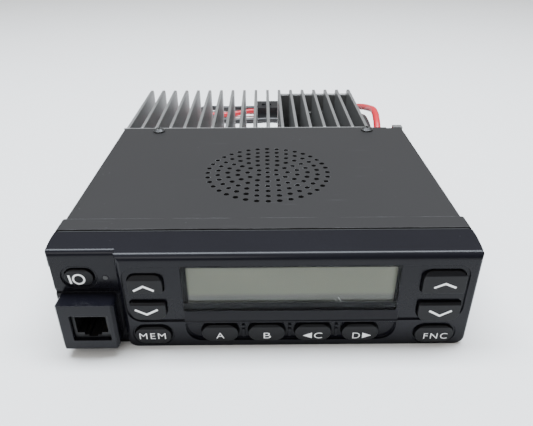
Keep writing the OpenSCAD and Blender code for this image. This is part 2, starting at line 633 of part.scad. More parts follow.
module antenna_connector() color([0.8, 0.8, 0.78]) centred() difference() {
    union() {
        along_y(fin_end_y + 0.02, fin_end_y + ant_flange_t) translate(ant) tab2d(25.4, 25.4, 1.5, 1.5);
        rod_y(ant[0], ant[1], ant_thread_r, fin_end_y + ant_flange_t - 0.2, rear_y);
    }
    rod_y(ant[0], ant[1], 6.4, fin_end_y - 1, rear_y + 1);
    for (x = [-1, 1], z = [-1, 1]) rod_y(ant[0] + 9.1*x, ant[1] + 9.1*z, 1.6, fin_end_y - 1, fin_end_y + 4);
}

module antenna_insulator() color([0.92, 0.92, 0.88]) centred() difference() {
    rod_y(ant[0], ant[1], 6.35, fin_end_y - 2, fin_end_y + 6);
    rod_y(ant[0], ant[1], 2.95, fin_end_y - 3, fin_end_y + 7);
}

module antenna_contact() color([0.85, 0.7, 0.3]) centred() difference() {
    rod_y(ant[0], ant[1], 2.9, fin_end_y - 2, fin_end_y + 12);
    rod_y(ant[0], ant[1], 2.05, fin_end_y + 1, fin_end_y + 13);
}

module antenna_screws() color([0.7, 0.7, 0.68]) centred()
    for (x = [-1, 1], z = [-1, 1]) {
        rod_y(ant[0] + 9.1*x, ant[1] + 9.1*z, 1.2, fin_end_y - 4, fin_end_y + ant_flange_t + 0.2);
        rod_y(ant[0] + 9.1*x, ant[1] + 9.1*z, 2.6, fin_end_y + ant_flange_t + 0.02, fin_end_y + ant_flange_t + 1.6);
    }

module antenna_coax() color([0.3, 0.3, 0.3]) centred() rod_y(ant[0], ant[1], 1.9, 106.5, fin_end_y - 2.25);

module speaker_jack() color([0.1, 0.1, 0.1]) centred() difference() {
    union() {
        block(jack[0] - 2.8, jack[0] + 3.4, 103, wall_y - 0.02, jack[1] - 3.9, jack[1] + 4.5);
        rod_y(jack[0], jack[1], 3, wall_y - 0.5, wall_end_y + 3);
    }
    rod_y(jack[0], jack[1], 1.8, wall_y - 9, wall_end_y + 4);
}

module speaker_jack_nut() color([0.75, 0.75, 0.72]) centred() difference() {
    translate([jack[0], wall_end_y + 0.02, jack[1]]) rotate([-90, 0, 0]) cylinder(r = 4.8, h = 2, $fn = 6);
    rod_y(jack[0], jack[1], 3.05, wall_end_y - 1, wall_end_y + 3);
}

module dc_grommet() color([0.06, 0.06, 0.06]) centred() {
    rod_y(grommet[0], grommet[1], 5.2, wall_y - 0.5, wall_end_y + 0.5);
    rod_y(grommet[0], grommet[1], 6.4, wall_end_y + 0.02, grommet_y);
    rod_y(grommet[0], grommet[1], 6.4, wall_y - 1.8, wall_y - 0.02);
}

// ---- DC leads ----

function unit(v) = v/norm(v);
// Direction of the route at point i. Both leads leave the grommet along Y and enter the plug along X
function along(p, i) =
    i == 0 ? [0, 1, 0] : i == len(p) - 1 ? [1, 0, 0] : unit(unit(p[i + 1] - p[i]) + unit(p[i] - p[i - 1]));
function ring(c, t, r, n) =
    let (u = unit(cross([0, 0, 1], t)), v = cross(t, u))
    [for (k = [0:n - 1]) c + r*(cos(360*k/n)*u + sin(360*k/n)*v)];

module tube(p, r, sides) polyhedron(
    points = [for (i = [0:len(p) - 1]) each ring(p[i], along(p, i), r, sides)],
    faces = concat(
        [[for (k = [0:sides - 1]) k]],
        [for (i = [0:len(p) - 2], k = [0:sides - 1])
            [i*sides + k, (i + 1)*sides + k, (i + 1)*sides + (k + 1)%sides, i*sides + (k + 1)%sides]],
        [[for (k = [sides - 1:-1:0]) (len(p) - 1)*sides + k]]
    )
);

module dc_lead_red() color([0.85, 0.05, 0.08]) centred() tube(red_route, lead_r, 10);
module dc_lead_black() color([0.07, 0.07, 0.07]) centred() tube(black_route, lead_r, 10);

// Two-way plug lying on the ground, open towards +X
module dc_plug() color([0.9, 0.9, 0.86]) centred() difference() {
    union() {
        block(plug[0], plug[2], plug[1], plug[3], 0, plug[4]);
        block(plug[0] + 5, plug[0] + 13, plug[1] + 6, plug[3] - 6, plug[4] - 0.5, plug[4] + 1.6);
    }
    for (y = [273, 281]) block(plug[0] + 6, plug[2] + 1, y - 3, y + 3, plug_z - 3, plug_z + 3);
}

module dc_plug_contacts() color([0.8, 0.78, 0.7]) centred()
    for (y = [273, 281]) difference() {
        translate([plug[0] + 6, y, plug_z]) rotate([0, 90, 0]) cylinder(r = 1.8, h = 14);
        translate([plug[0] + 8, y, plug_z]) rotate([0, 90, 0]) cylinder(r = 1.2, h = 14);
    }

chassis();
heat_sink();
sink_screws();
top_cover();
bottom_cover();
front_panel();
panel_gasket();
lcd_lens();
lcd_glass();
lcd_holder();
light_guide();
key_mat();
display_board();
display_screws();
mic_jack();
mic_jack_contacts();
led_lens();
power_key();
mem_key();
fnc_key();
left_up_key();
left_down_key();
right_up_key();
right_down_key();
key_a();
key_b();
key_c();
key_d();
main_board();
board_screws();
processor_chip();
shield_can();
crystal_filter();
audio_amplifier();
filter_capacitors();
power_module();
module_screws();
ribbon_cable();
speaker_frame();
speaker_magnet();
speaker_cone();
speaker_cloth();
speaker_strap();
antenna_connector();
antenna_insulator();
antenna_contact();
antenna_screws();
antenna_coax();
speaker_jack();
speaker_jack_nut();
dc_grommet();
dc_lead_red();
dc_lead_black();
dc_plug();
dc_plug_contacts();
top_screws();
bottom_screws();
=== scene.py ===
"""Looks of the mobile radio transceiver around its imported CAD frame.

Lengths are in millimetres unless a comment says otherwise.
"""
import math

import bmesh
import bpy
from mathutils import Matrix, Vector


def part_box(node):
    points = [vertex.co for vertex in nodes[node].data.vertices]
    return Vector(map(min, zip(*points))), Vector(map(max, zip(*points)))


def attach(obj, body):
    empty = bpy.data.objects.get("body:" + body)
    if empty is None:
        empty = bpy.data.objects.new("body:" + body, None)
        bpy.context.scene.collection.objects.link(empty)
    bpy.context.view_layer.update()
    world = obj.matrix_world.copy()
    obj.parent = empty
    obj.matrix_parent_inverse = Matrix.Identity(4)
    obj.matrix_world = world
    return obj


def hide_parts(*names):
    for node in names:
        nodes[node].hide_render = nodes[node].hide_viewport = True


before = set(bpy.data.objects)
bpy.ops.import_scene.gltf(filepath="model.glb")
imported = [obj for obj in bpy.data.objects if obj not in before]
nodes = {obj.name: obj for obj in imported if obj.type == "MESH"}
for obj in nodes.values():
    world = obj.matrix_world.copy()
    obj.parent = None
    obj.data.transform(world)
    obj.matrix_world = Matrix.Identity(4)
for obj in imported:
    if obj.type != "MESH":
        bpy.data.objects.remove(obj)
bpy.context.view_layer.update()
scene = bpy.context.scene

MM = 0.001
MIC_BLOCK_PROUD = 5.3            # the microphone block stands out this far from the front face
FACE_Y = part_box("front_panel")[0].y / MM + MIC_BLOCK_PROUD


def at(x, y, z):
    """A point given in millimetres, with y counted from the front face and z from the ground."""
    return Vector((x, y + FACE_Y, z)) * MM


# ---------------------------------------------------------------- camera

def aim_camera():
    """Looks down on the radio from in front, nearly square to it."""
    place = at(0.1, -151.2, 149.1)
    yaw, pitch, roll = 0.0060, math.radians(29.47), -0.0040
    ahead = Vector((
        math.sin(yaw) * math.cos(pitch), math.cos(yaw) * math.cos(pitch), -math.sin(pitch),
    ))
    level = Vector((math.cos(yaw), -math.sin(yaw), 0))
    above = level.cross(ahead)
    right = math.cos(roll) * level + math.sin(roll) * above
    up = -math.sin(roll) * level + math.cos(roll) * above
    lens = bpy.data.cameras.new("camera")
    lens.sensor_width = 36
    lens.lens = 34.34
    lens.shift_y = -0.0107
    lens.clip_start = 0.01
    lens.dof.use_dof = False
    eye = bpy.data.objects.new("camera", lens)
    scene.collection.objects.link(eye)
    turn = Matrix((right, up, -ahead)).transposed().to_4x4()
    eye.matrix_world = Matrix.Translation(place) @ turn
    scene.camera = eye


aim_camera()


# ---------------------------------------------------------------- DC leads

LEAD_D = 4.2
LIE = LEAD_D / 2                 # height of a lead's middle where it lies on the ground
PLUG_Z = 5                       # height of the plug's entries
RED_ROUTE = [
    (69.6, 127.2, 31), (69.6, 133, 32), (69.7, 140, 36), (70.3, 148, 40), (71, 157, 42),
    (71.5, 167, 41.5), (71, 178, 39), (69.5, 188, 36.5), (67.5, 198, 33.5), (66, 208, 29.5),
    (63.5, 218, 23), (59, 226.5, 15.5), (51, 231.5, 8.5), (40, 232.5, 3.6), (28, 232.5, LIE),
    (14, 232.5, LIE), (0, 232.5, LIE), (-16, 232.5, LIE), (-32, 232, LIE), (-46, 232.5, LIE),
    (-56, 235, LIE), (-63, 242, LIE), (-65.5, 252, LIE), (-63, 262, LIE), (-56, 269, LIE),
    (-46, 272.4, LIE), (-36, 273, LIE), (-27, 272.6, 2.6), (-19, 272.8, 3.8), (-12, 273, PLUG_Z),
    (-6, 273, PLUG_Z),
]
BLACK_ROUTE = [
    (65.6, 127.2, 28), (65.5, 133, 29), (65.2, 140, 32.5), (65, 149, 36.5), (65, 159, 37.5),
    (65.5, 170, 35.5), (65.6, 182, 31.5), (65.6, 194, 27), (65.2, 205, 21.5), (64.5, 217, 15),
    (63, 229, 9.4), (60, 239.5, 5), (54, 248.5, 2.6), (44, 255, LIE), (32, 257.5, LIE),
    (18, 258, LIE), (4, 259.5, LIE), (-8, 258, LIE), (-20, 257.5, LIE), (-32, 258, 2.5),
    (-42, 260, 4.2), (-48.5, 264.5, 5.9), (-52, 270.5, 6.7), (-52, 277.5, 6), (-48, 284, 4.4),
    (-41, 288, 3), (-32, 288.2, 2.6), (-24, 285.4, 3.4), (-17, 282.4, 4.5), (-12, 281.2, PLUG_Z),
    (-6, 281, PLUG_Z),
]


def lead(name, route):
    """A round lead; the handles at each stop run parallel to the line between its neighbours."""
    line = bpy.data.curves.new(name, "CURVE")
    line.dimensions = "3D"
    line.bevel_depth = 1         # the points' radius then is the lead's
    line.bevel_resolution = 6
    line.resolution_u = 10
    line.use_fill_caps = True
    spline = line.splines.new("BEZIER")
    spline.bezier_points.add(len(route) - 1)
    stops = [at(*place) for place in route]
    befores, afters = stops[:1] + stops, stops[1:] + stops[-1:]
    for point, here, before, after in zip(spline.bezier_points, stops, befores, afters):
        along = (after - before).normalized()
        point.handle_left_type = point.handle_right_type = "FREE"
        point.co = here
        point.handle_left = here - along * (here - before).length / 3
        point.handle_right = here + along * (after - here).length / 3
        point.radius = LIE * MM
    piece = bpy.data.objects.new(name, line)
    scene.collection.objects.link(piece)
    return piece


red_lead = lead("red_lead", RED_ROUTE)
black_lead = lead("black_lead", BLACK_ROUTE)
for piece, route, node, slot in (
    (red_lead, RED_ROUTE, "dc_lead_red", "lead_red"),
    (black_lead, BLACK_ROUTE, "dc_lead_black", "lead_black"),
):
    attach(piece, "radio")
    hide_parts(node)


# ---------------------------------------------------------------- material kit

class Wiring:
    """Adds and joins the nodes of one material or node group."""

    def __init__(self, tree):
        self.tree = tree

    def add(self, kind, **settings):
        part = self.tree.nodes.new(kind)
        for name, value in settings.items():
            setattr(part, name, value)
        return part

    def join(self, source, target):
        self.tree.links.new(source, target)

    def feed(self, socket, value):
        """Joins an output to the socket, or sets the socket to a plain value."""
        if isinstance(value, bpy.types.NodeSocket):
            self.join(value, socket)
        else:
            socket.default_value = value

    def put(self, part, **sockets):
        """Sets or joins input sockets by name; a space in a name is written as two underscores."""
        for name, value in sockets.items():
            self.feed(part.inputs[name.replace("__", " ")], value)
        return part

    def math(self, operation, a, b=0.0, clamp=False):
        part = self.add("ShaderNodeMath", operation=operation, use_clamp=clamp)
        for socket, value in zip(part.inputs, (a, b)):
            self.feed(socket, value)
        return part.outputs[0]

    def mix(self, amount, a, b, blend="MIX"):
        """Mixes two colours; these sockets are found by number, because their names repeat."""
        part = self.add("ShaderNodeMix", data_type="RGBA", blend_type=blend)
        for index, value in ((0, amount), (6, a), (7, b)):
            self.feed(part.inputs[index], value)
        return part.outputs[2]

    def noise(self, where, scale, detail=3.0, roughness=0.55):
        part = self.add("ShaderNodeTexNoise")
        self.put(part, Vector=where, Scale=scale, Detail=detail, Roughness=roughness)
        return part.outputs["Fac"]

    def band(self, value, low, high, to_low=0.0, to_high=1.0):
        """Carries the range from low to high over to the range from to_low to to_high."""
        part = self.add("ShaderNodeMapRange")
        for socket, number in zip(part.inputs, (value, low, high, to_low, to_high)):
            self.feed(socket, number)
        return part.outputs[0]


def new_group(name, inputs, outputs):
    """A shader node group with named sockets, and its wiring, inputs and output node."""
    group = bpy.data.node_groups.new(name, "ShaderNodeTree")
    for label, kind, value in inputs:
        socket = group.interface.new_socket(label, in_out="INPUT", socket_type=kind)
        socket.default_value = value
    for label, kind in outputs:
        group.interface.new_socket(label, in_out="OUTPUT", socket_type=kind)
    wiring = Wiring(group)
    return group, wiring, wiring.add("NodeGroupInput").outputs, wiring.add("NodeGroupOutput").inputs


FLOAT, COLOUR = "NodeSocketFloat", "NodeSocketColor"


def grain_group():
    """Fine texture of a moulded, painted or cast surface, with slow patches of tone."""
    group, w, given, out = new_group(
        "surface grain",
        [("Colour", COLOUR, (0.5, 0.5, 0.5, 1)), ("Grain scale", FLOAT, 900.0),
         ("Patch scale", FLOAT, 30.0), ("Tone spread", FLOAT, 0.2), ("Roughness", FLOAT, 0.5),
         ("Roughness spread", FLOAT, 0.1)],
        [("Colour", COLOUR), ("Roughness", FLOAT), ("Height", FLOAT)],
    )
    where = w.add("ShaderNodeTexCoord").outputs["Object"]
    grain = w.noise(where, given["Grain scale"], 3.0)
    patch = w.noise(where, given["Patch scale"], 4.0)
    both = w.math("ADD", w.math("MULTIPLY", grain, 0.6), w.math("MULTIPLY", patch, 0.4))
    unevenness = w.math("SUBTRACT", both, 0.5)
    tone = w.math("ADD", 1.0, w.math("MULTIPLY", unevenness, given["Tone spread"]))
    shade = w.add("ShaderNodeCombineColor")
    for socket in shade.inputs:
        w.join(tone, socket)
    w.join(w.mix(1.0, given["Colour"], shade.outputs[0], "MULTIPLY"), out["Colour"])
    spread = w.math("MULTIPLY", unevenness, given["Roughness spread"])
    w.join(w.math("ADD", given["Roughness"], spread, True), out["Roughness"])
    w.join(grain, out["Height"])
    return group


def edge_group():
    """Where outside edges are rubbed: a mask that is 1 on the edge and 0 on the faces."""
    group, w, given, out = new_group(
        "edge wear",
        [("Colour", COLOUR, (0.1, 0.1, 0.1, 1)), ("Worn colour", COLOUR, (0.5, 0.5, 0.5, 1)),
         ("Width", FLOAT, 0.0006), ("Amount", FLOAT, 0.5), ("Patchiness", FLOAT, 60.0)],
        [("Colour", COLOUR), ("Mask", FLOAT)],
    )
    bevel = w.add("ShaderNodeBevel", samples=6)
    w.put(bevel, Radius=given["Width"])
    flat = w.add("ShaderNodeNewGeometry")
    dot = w.add("ShaderNodeVectorMath", operation="DOT_PRODUCT")
    w.join(bevel.outputs[0], dot.inputs[0])
    w.join(flat.outputs["Normal"], dot.inputs[1])
    edge = w.band(w.math("SUBTRACT", 1.0, dot.outputs["Value"]), 0.02, 0.25)
    where = w.add("ShaderNodeTexCoord").outputs["Object"]
    patch = w.band(w.noise(where, given["Patchiness"], 5.0, 0.7), 0.42, 0.62)
    mask = w.math("MULTIPLY", w.math("MULTIPLY", edge, patch), given["Amount"], True)
    w.join(w.mix(mask, given["Colour"], given["Worn colour"]), out["Colour"])
    w.join(mask, out["Mask"])
    return group


def scratch_group():
    """Hair-fine handling scratches in two directions, and bright specks."""
    group, w, given, out = new_group(
        "handling marks",
        [("Colour", COLOUR, (0.1, 0.1, 0.1, 1)), ("Mark colour", COLOUR, (0.4, 0.4, 0.4, 1)),
         ("Scratches", FLOAT, 0.3), ("Specks", FLOAT, 0.3)],
        [("Colour", COLOUR), ("Mask", FLOAT)],
    )
    where = w.add("ShaderNodeTexCoord").outputs["Object"]
    lines = []
    for angle, stretch in ((0.35, (40, 1800, 60)), (-0.9, (30, 1500, 60))):
        turned = w.add("ShaderNodeMapping")
        w.put(turned, Vector=where, Rotation=(0, 0, angle), Scale=stretch)
        lines.append(w.band(w.noise(turned.outputs[0], 1.0, 2.0), 0.70, 0.74))
    broken = w.band(w.noise(where, 35.0, 3.0), 0.5, 0.62)
    scratch = w.math("MULTIPLY", w.math("MAXIMUM", *lines), broken)
    scratch = w.math("MULTIPLY", scratch, given["Scratches"])
    dots = w.add("ShaderNodeTexVoronoi")
    w.put(dots, Vector=where, Scale=260.0)
    spot = w.band(dots.outputs["Distance"], 0.10, 0.05)
    speck = w.math("MULTIPLY", spot, w.band(w.noise(where, 55.0), 0.58, 0.64))
    mask = w.math("MAXIMUM", scratch, w.math("MULTIPLY", speck, given["Specks"]), True)
    w.join(w.mix(mask, given["Colour"], given["Mark colour"]), out["Colour"])
    w.join(mask, out["Mask"])
    return group


GRAIN, EDGE, MARKS = grain_group(), edge_group(), scratch_group()


def finish(name, colour, roughness, metallic=0.0, grain=900.0, patch=30.0, tone=0.25, spread=0.12,
           depth=0.02, worn=None, wear=0.0, wear_width=0.5, mark=None, scratches=0.0, specks=0.0,
           specular=0.5, rounding=0.0):
    """A Principled material made of the shared effects, with its own values.

    grain and patch are noise scales; depth, wear_width and rounding are in millimetres.
    """
    material = bpy.data.materials.new(name)
    material.use_nodes = True
    w = Wiring(material.node_tree)
    shader = material.node_tree.nodes["Principled BSDF"]
    texture = w.add("ShaderNodeGroup", node_tree=GRAIN)
    w.put(texture, Colour=(*colour, 1), Grain__scale=grain, Patch__scale=patch, Tone__spread=tone,
          Roughness=roughness, Roughness__spread=spread)
    shown = texture.outputs["Colour"]
    if wear:
        edge = w.add("ShaderNodeGroup", node_tree=EDGE)
        w.put(edge, Colour=shown, Worn__colour=(*worn, 1), Width=wear_width * MM, Amount=wear)
        shown = edge.outputs["Colour"]
    if scratches or specks:
        marks = w.add("ShaderNodeGroup", node_tree=MARKS)
        w.put(marks, Colour=shown, Mark__colour=(*mark, 1), Scratches=scratches, Specks=specks)
        shown = marks.outputs["Colour"]
    bump = w.add("ShaderNodeBump")
    w.put(bump, Strength=0.6, Distance=depth * MM, Height=texture.outputs["Height"])
    if rounding:
        soft_edge = w.add("ShaderNodeBevel", samples=6)
        w.put(soft_edge, Radius=rounding * MM)
        w.join(soft_edge.outputs["Normal"], bump.inputs["Normal"])
    w.put(shader, Base__Color=shown, Roughness=texture.outputs["Roughness"], Metallic=metallic,
          Normal=bump.outputs[0], Specular__IOR__Level=specular)
    return material


def wear_material(material, *names):
    """Gives CAD pieces their finish."""
    for name in names:
        nodes[name].data.materials.clear()
        nodes[name].data.materials.append(material)


cast = finish("cast aluminium", (0.24, 0.24, 0.235), 0.5, metallic=0.85, grain=700, patch=22,
              tone=0.5, spread=0.25, depth=0.06, worn=(0.62, 0.62, 0.6), wear=0.7, wear_width=0.5,
              mark=(0.42, 0.42, 0.42), scratches=0.2, rounding=0.25)
cover_paint = finish("satin cover paint", (0.021, 0.0202, 0.0202), 0.55, grain=1600, patch=14,
                     tone=0.3, depth=0.03, worn=(0.30, 0.30, 0.31), wear=0.6, wear_width=0.4,
                     mark=(0.14, 0.14, 0.15), scratches=0.2, specks=0.3, specular=0.12,
                     rounding=0.25)
panel_plastic = finish("charcoal panel plastic", (0.005, 0.005, 0.0075), 0.22, grain=1500,
                       patch=25, tone=0.4, depth=0.008, worn=(0.05, 0.05, 0.06), wear=0.3,
                       wear_width=0.3, mark=(0.09, 0.09, 0.09), specks=0.12, specular=0.16,
                       rounding=0.35)
gasket_rubber = finish("gasket rubber", (0.012, 0.012, 0.012), 0.7, depth=0.02)
key_plastic = finish("key plastic", (0.005, 0.005, 0.006), 0.42, grain=1100, depth=0.03,
                     worn=(0.04, 0.04, 0.045), wear=0.3, wear_width=0.4, specular=0.18)
jack_plastic = finish("jack plastic", (0.008, 0.008, 0.009), 0.4, depth=0.01, specular=0.25,
                      rounding=0.3)
gold = finish("gold contacts", (0.8, 0.6, 0.25), 0.3, metallic=1, depth=0.005)
led_plastic = finish("indicator plastic", (0.03, 0.03, 0.03), 0.35, depth=0.005)
board_green = finish("board solder resist", (0.02, 0.14, 0.06), 0.35, patch=120, tone=0.4,
                     depth=0.02)
white_plastic = finish("white plastic", (0.7, 0.7, 0.67), 0.4, tone=0.1, depth=0.01)
silicone = finish("grey silicone", (0.45, 0.45, 0.43), 0.6, depth=0.01)
zinc = finish("zinc plate", (0.62, 0.62, 0.6), 0.3, metallic=1, tone=0.3, depth=0.01)
black_oxide = finish("black oxide", (0.03, 0.03, 0.03), 0.4, metallic=0.4, depth=0.02,
                     worn=(0.5, 0.5, 0.48), wear=0.8, wear_width=0.4)
epoxy = finish("chip epoxy", (0.02, 0.02, 0.02), 0.55, depth=0.02)
tinned = finish("tinned sheet", (0.6, 0.6, 0.58), 0.35, metallic=1, tone=0.3, depth=0.01)
sleeve = finish("capacitor sleeve", (0.02, 0.04, 0.12), 0.3, depth=0.01)
film = finish("flat cable film", (0.6, 0.55, 0.42), 0.4, depth=0.01)
speaker_metal = finish("speaker steel", (0.12, 0.12, 0.12), 0.4, metallic=0.6, depth=0.01)
ferrite = finish("ferrite", (0.05, 0.05, 0.05), 0.6, depth=0.03)
paper = finish("speaker paper", (0.03, 0.027, 0.024), 0.85, grain=1800, depth=0.05)
felt = finish("speaker felt", (0.006, 0.006, 0.006), 0.95, grain=2500, depth=0.08, specular=0.1)
nickel = finish("nickel plate", (0.66, 0.64, 0.6), 0.22, metallic=1, tone=0.2, depth=0.005)
ptfe = finish("white insulator", (0.75, 0.75, 0.72), 0.4, tone=0.1, depth=0.005)
jacket = finish("cable jacket", (0.02, 0.02, 0.02), 0.5, depth=0.01)
red_wire = finish("red insulation", (0.50, 0.008, 0.022), 0.34, grain=1200, tone=0.15, depth=0.01)
black_wire = finish("black insulation", (0.012, 0.012, 0.013), 0.36, grain=1200, depth=0.01)
guide = finish("light guide acrylic", (0.7, 0.75, 0.65), 0.3, tone=0.1, depth=0.002)


def window_acrylic():
    """Clear window with a faint haze of wear."""
    material = bpy.data.materials.new("window acrylic")
    material.use_nodes = True
    w = Wiring(material.node_tree)
    shader = material.node_tree.nodes["Principled BSDF"]
    where = w.add("ShaderNodeTexCoord").outputs["Object"]
    haze = w.band(w.noise(where, 40.0, 5.0), 0.3, 0.8, 0.03, 0.12)
    w.put(shader, Roughness=haze, Base__Color=(0.95, 0.97, 0.96, 1), Transmission__Weight=1.0,
          IOR=1.12, Specular__IOR__Level=0.2)
    return material


def display_face():
    """Grey-green reflective display with a painted bezel shadow as a dark strip, and a paler lip
    along its lower edge.
    """
    material = finish("display face", (0.140, 0.139, 0.098), 0.35, patch=18, tone=0.12, depth=0.001)
    w = Wiring(material.node_tree)
    shader = material.node_tree.nodes["Principled BSDF"]
    plain = shader.inputs["Base Color"].links[0].from_socket
    where = w.add("ShaderNodeTexCoord").outputs["Object"]
    apart = w.add("ShaderNodeSeparateXYZ")
    w.join(where, apart.inputs[0])
    # painted shade: a dark strip low on the display stands for the bezel's shadow
    bezel_shadow = w.band(apart.outputs["Z"], 22.7 * MM, 24.6 * MM, 0.68, 0.0)
    shaded = w.mix(bezel_shadow, plain, (0.045, 0.045, 0.046, 1))
    lip = w.band(apart.outputs["Z"], 20.0 * MM, 20.3 * MM, 0.55, 0.0)
    w.join(w.mix(lip, shaded, (0.30, 0.30, 0.30, 1)), shader.inputs["Base Color"])
    return material


KEYS = ("power_key", "mem_key", "fnc_key", "left_up_key", "left_down_key", "right_up_key",
        "right_down_key", "key_a", "key_b", "key_c", "key_d")
wear_material(cast, "chassis", "heat_sink")
wear_material(cover_paint, "top_cover", "bottom_cover")
wear_material(panel_plastic, "front_panel")
wear_material(gasket_rubber, "panel_gasket", "dc_grommet")
wear_material(key_plastic, *KEYS)
wear_material(jack_plastic, "dc_plug", "mic_jack", "speaker_jack")
wear_material(gold, "mic_jack_contacts", "antenna_contact")
wear_material(led_plastic, "led_lens")
wear_material(board_green, "main_board", "display_board")
wear_material(white_plastic, "lcd_holder")
wear_material(silicone, "key_mat")
wear_material(zinc, "display_screws", "board_screws", "module_screws", "sink_screws",
              "antenna_screws", "speaker_strap")
wear_material(black_oxide, "top_screws", "bottom_screws")
wear_material(epoxy, "processor_chip", "audio_amplifier", "power_module")
wear_material(tinned, "shield_can", "crystal_filter", "dc_plug_contacts")
wear_material(sleeve, "filter_capacitors")
wear_material(film, "ribbon_cable")
wear_material(speaker_metal, "speaker_frame")
wear_material(ferrite, "speaker_magnet")
wear_material(paper, "speaker_cone")
wear_material(felt, "speaker_cloth")
wear_material(nickel, "antenna_connector", "speaker_jack_nut")
wear_material(ptfe, "antenna_insulator")
wear_material(jacket, "antenna_coax")
wear_material(display_face(), "lcd_glass")
wear_material(guide, "light_guide")
wear_material(window_acrylic(), "lcd_lens")
red_lead.data.materials.append(red_wire)
black_lead.data.materials.append(black_wire)


# ---------------------------------------------------------------- rounded edges on CAD pieces

def soften(width, *names, segments=2):
    """Rounds the edges of CAD pieces by modifiers, which leave their meshes as they are."""
    for name in names:
        stack = nodes[name].modifiers
        weld = stack.new("joined corners", "WELD")
        weld.merge_threshold = 0.003 * MM
        flat = stack.new("flat faces", "DECIMATE")
        flat.decimate_type = "DISSOLVE"
        flat.angle_limit = math.radians(0.6)
        rounding = stack.new("rounded edges", "BEVEL")
        rounding.width = width * MM
        rounding.segments = segments
        rounding.limit_method = "ANGLE"
        rounding.angle_limit = math.radians(32)
        rounding.use_clamp_overlap = False
        stack.new("flat faces stay flat", "WEIGHTED_NORMAL").keep_sharp = True


soften(0.3, "heat_sink", "dc_plug")
soften(0.22, *KEYS, segments=3)


# ---------------------------------------------------------------- printed marks

def on_circle(x, z, r, degrees):
    turn = math.radians(degrees)
    return x + r * math.cos(turn), z + r * math.sin(turn)


def rounded_box(x0, z0, x1, z1, r, steps=6):
    """A closed outline with round corners."""
    corners = (
        (x1 - r, z1 - r, 0), (x0 + r, z1 - r, 90), (x0 + r, z0 + r, 180), (x1 - r, z0 + r, 270),
    )
    return [on_circle(x, z, r, start + 90 * k / steps)
            for x, z, start in corners for k in range(steps + 1)]


def circle(x, z, r, steps=40):
    """A closed round outline."""
    return [on_circle(x, z, r, 360 * k / steps) for k in range(steps)]


LEAST_MITRE = 0.35


def stroke(points, width):
    """The outline of a line of even width through the points, with mitred bends.

    LEAST_MITRE keeps the corner of a sharp bend from running far out.
    """
    left, right = [], []
    for i, point in enumerate(points):
        here = Vector(point)
        into = (here - Vector(points[i - 1])).normalized() if i else None
        out = (Vector(points[i + 1]) - here).normalized() if i + 1 < len(points) else None
        along = ((into or out) + (out or into)).normalized()
        side = Vector((-along.y, along.x))
        reach = width / 2 / max(LEAST_MITRE, side.dot(Vector((-(out or into).y, (out or into).x))))
        left.append(tuple(here + side * reach))
        right.append(tuple(here - side * reach))
    return left + right[::-1]


def flat_plate(name, body, outlines, y, thick, material):
    """A thin plate that faces the front, cut to outlines in x and z; an inner outline is a hole."""
    line = bpy.data.curves.new(name, "CURVE")
    line.dimensions = "2D"
    line.fill_mode = "BOTH"
    line.extrude = thick / 2 * MM
    for outline in outlines:
        spline = line.splines.new("POLY")
        spline.points.add(len(outline) - 1)
        spline.use_cyclic_u = True
        for point, (x, z) in zip(spline.points, outline):
            point.co = (x * MM, z * MM, 0, 1)
    return stand_up(name, filled_shape(name, line), body, (0, y, 0), material)


def filled_shape(name, curve):
    """A closed mesh of a curve's filled shape, with its double corners joined."""
    holder = bpy.data.objects.new(name + "_line", curve)
    scene.collection.objects.link(holder)
    shown = holder.evaluated_get(bpy.context.evaluated_depsgraph_get())
    mesh = bpy.data.meshes.new_from_object(shown)
    bpy.data.objects.remove(holder)
    mesh.name = name
    build = bmesh.new()
    build.from_mesh(mesh)
    bmesh.ops.remove_doubles(build, verts=build.verts, dist=1e-7)
    build.to_mesh(mesh)
    build.free()
    return mesh


def stand_up(name, mesh, body, place, material, stretch=(1, 1)):
    """Turns a flat shape to face the front at its place, and gives it its body and finish."""
    piece = bpy.data.objects.new(name, mesh)
    scene.collection.objects.link(piece)
    turn = Matrix.Rotation(math.radians(90), 4, "X")
    piece.matrix_world = Matrix.Translation(at(*place)) @ turn @ Matrix.Diagonal((*stretch, 1, 1))
    mesh.materials.clear()
    mesh.materials.append(material)
    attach(piece, body)
    return piece


def lettering(name, body, word, x, z, width, height, y):
    """Plain letters of a given overall size, centred on x and z.

    The letters are drawn 10 mm high and a little thinned, then stretched to their size.
    """
    text = bpy.data.curves.new(name, "FONT")
    text.body = word
    text.size = 10 * MM
    text.offset = -0.1 * MM
    text.space_character = 1.22
    text.extrude = PRINT_T / 2 * MM
    mesh = filled_shape(name, text)
    low = [min(v.co[k] for v in mesh.vertices) for k in (0, 1)]
    high = [max(v.co[k] for v in mesh.vertices) for k in (0, 1)]
    stretch = (width * MM / (high[0] - low[0]), height * MM / (high[1] - low[1]))
    left = x - width / 2 - low[0] * stretch[0] / MM
    foot = z - height / 2 - low[1] * stretch[1] / MM
    return stand_up(name, mesh, body, (left, y, foot), white_ink, stretch)


PRINT_T = 0.03                   # thickness of the printed ink
KEY_ROW_Y, OVAL_Y, TAB_Y, POWER_Y = -0.7, -0.9, -1.1, 2.2    # faces of the keys that carry print
white_ink = finish("white ink", (0.95, 0.95, 0.94), 0.45, tone=0.25, patch=700, depth=0.004)


